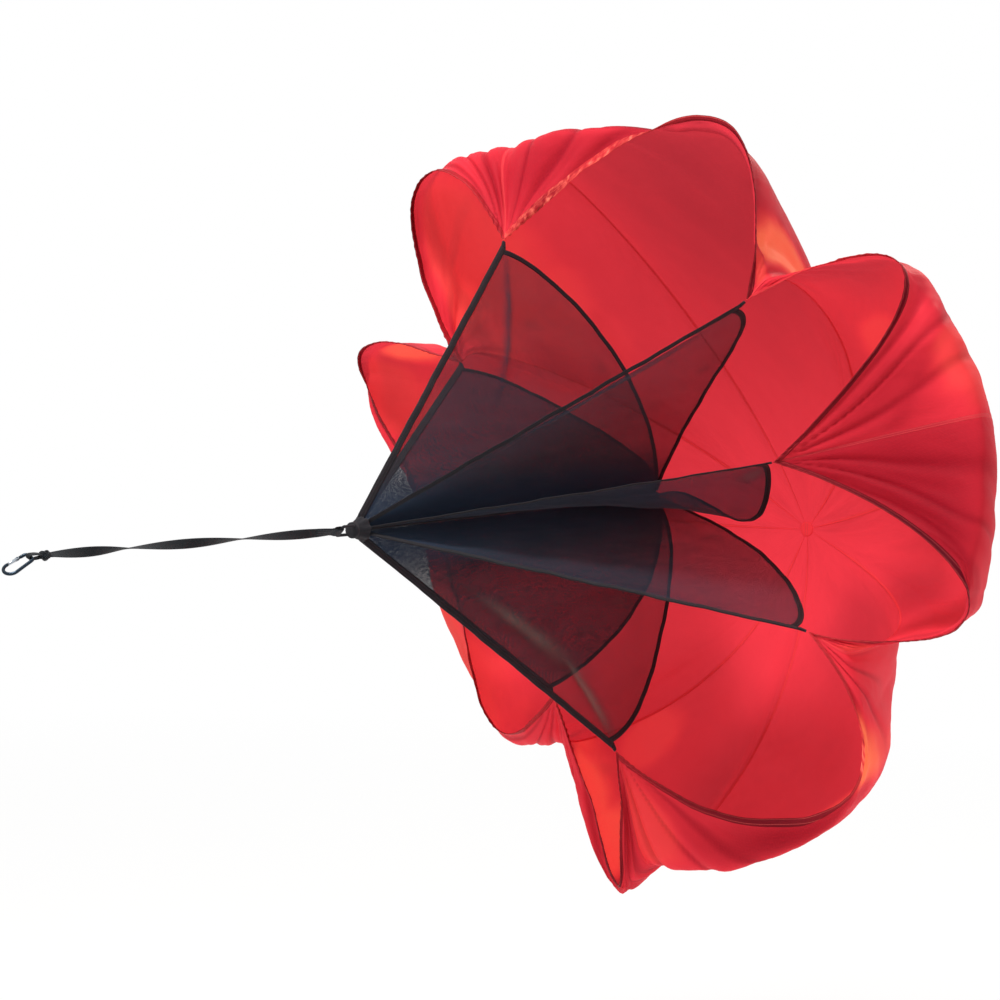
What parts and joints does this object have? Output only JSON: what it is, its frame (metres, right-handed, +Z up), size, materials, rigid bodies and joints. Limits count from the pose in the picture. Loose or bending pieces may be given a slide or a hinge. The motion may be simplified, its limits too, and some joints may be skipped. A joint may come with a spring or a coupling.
{
  "type": "resistance parachute",
  "caption": "Towed running parachute: a gored fabric canopy held open by see-through net fins that gather to a twisted webbing tether and a snap hook for a belt ring",
  "frame": {"origin": "seat in the snap hook's wide bow, where the ring of the runner's belt pulls", "axes": "+X from the runner's ring along the pull to the canopy's crown, +Z up as the parachute flies, +Y to the left seen from the runner looking back along +X"},
  "size_m": [1.9089, 1.3621, 1.4085],
  "materials": {
    "canopy_fabric": "satin",
    "canopy_seam_tape": "satin",
    "net_fabric": "matte",
    "black_webbing": "matte",
    "hook_steel": "polished"
  },
  "bodies": {
    "chute": {"canopy_gore_1": "canopy_fabric", "canopy_gore_2": "canopy_fabric", "canopy_gore_3": "canopy_fabric", "canopy_gore_4": "canopy_fabric", "canopy_gore_5": "canopy_fabric", "canopy_gore_6": "canopy_fabric", "canopy_gore_7": "canopy_fabric", "canopy_gore_8": "canopy_fabric", "canopy_seam_1": "canopy_seam_tape", "canopy_seam_2": "canopy_seam_tape", "canopy_seam_3": "canopy_seam_tape", "canopy_seam_4": "canopy_seam_tape", "canopy_seam_5": "canopy_seam_tape", "canopy_seam_6": "canopy_seam_tape", "canopy_seam_7": "canopy_seam_tape", "canopy_seam_8": "canopy_seam_tape", "crown_patch": "canopy_seam_tape", "net_fin_1": "net_fabric", "net_fin_2": "net_fabric", "net_fin_3": "net_fabric", "net_fin_4": "net_fabric", "net_fin_5": "net_fabric", "net_fin_6": "net_fabric", "net_fin_7": "net_fabric", "net_fin_8": "net_fabric", "net_edge_binding_1": "black_webbing", "net_edge_binding_2": "black_webbing", "net_edge_binding_3": "black_webbing", "net_edge_binding_4": "black_webbing", "net_edge_binding_5": "black_webbing", "net_edge_binding_6": "black_webbing", "net_edge_binding_7": "black_webbing", "net_edge_binding_8": "black_webbing", "net_rear_binding_1": "black_webbing", "net_rear_binding_2": "black_webbing", "net_rear_binding_3": "black_webbing", "net_rear_binding_4": "black_webbing", "net_rear_binding_5": "black_webbing", "net_rear_binding_6": "black_webbing", "net_rear_binding_7": "black_webbing", "net_rear_binding_8": "black_webbing", "corner_tab_1": "black_webbing", "corner_tab_2": "black_webbing", "corner_tab_3": "black_webbing", "corner_tab_4": "black_webbing", "corner_tab_5": "black_webbing", "corner_tab_6": "black_webbing", "corner_tab_7": "black_webbing", "corner_tab_8": "black_webbing", "net_spine_seam": "black_webbing", "apex_collar": "black_webbing", "apex_loop": "black_webbing"},
    "tether_rear": {"tether_rear_eye": "black_webbing", "tether_rear_strap": "black_webbing"},
    "tether_front": {"tether_front_strap": "black_webbing", "tether_knotted_loop": "black_webbing"},
    "snap_hook": {"hook_body": "hook_steel", "gate_pin": "hook_steel"},
    "gate": {"hook_gate": "hook_steel", "gate_spring": "hook_steel"}
  },
  "joints": [
    {"name": "tether_lift", "type": "hinge", "parent": "chute", "child": "tether_rear", "pos_m": [0.68281, -0.00727, 0.01997], "axis": [0, 0.7071, -0.7071], "range_deg": [-60, 60]},
    {"name": "tether_swing", "type": "hinge", "parent": "tether_rear", "child": "tether_front", "pos_m": [0.53381, -0.00727, 0.01997], "axis": [0, 0.7071, 0.7071], "range_deg": [-40, 40]},
    {"name": "hook_swing", "type": "hinge", "parent": "tether_front", "child": "snap_hook", "pos_m": [0.03681, -0.00727, 0.01997], "axis": [0, 0.9397, 0.342], "range_deg": [-60, 60]},
    {"name": "gate_hinge", "type": "hinge", "parent": "snap_hook", "child": "gate", "pos_m": [0.02425, 0.00466, 0.0166], "axis": [0.5, 0.2962, -0.8138], "range_deg": [-20, 0], "stiffness_Nm_per_rad": 0.15, "springref_deg": 17.19}
  ]
}
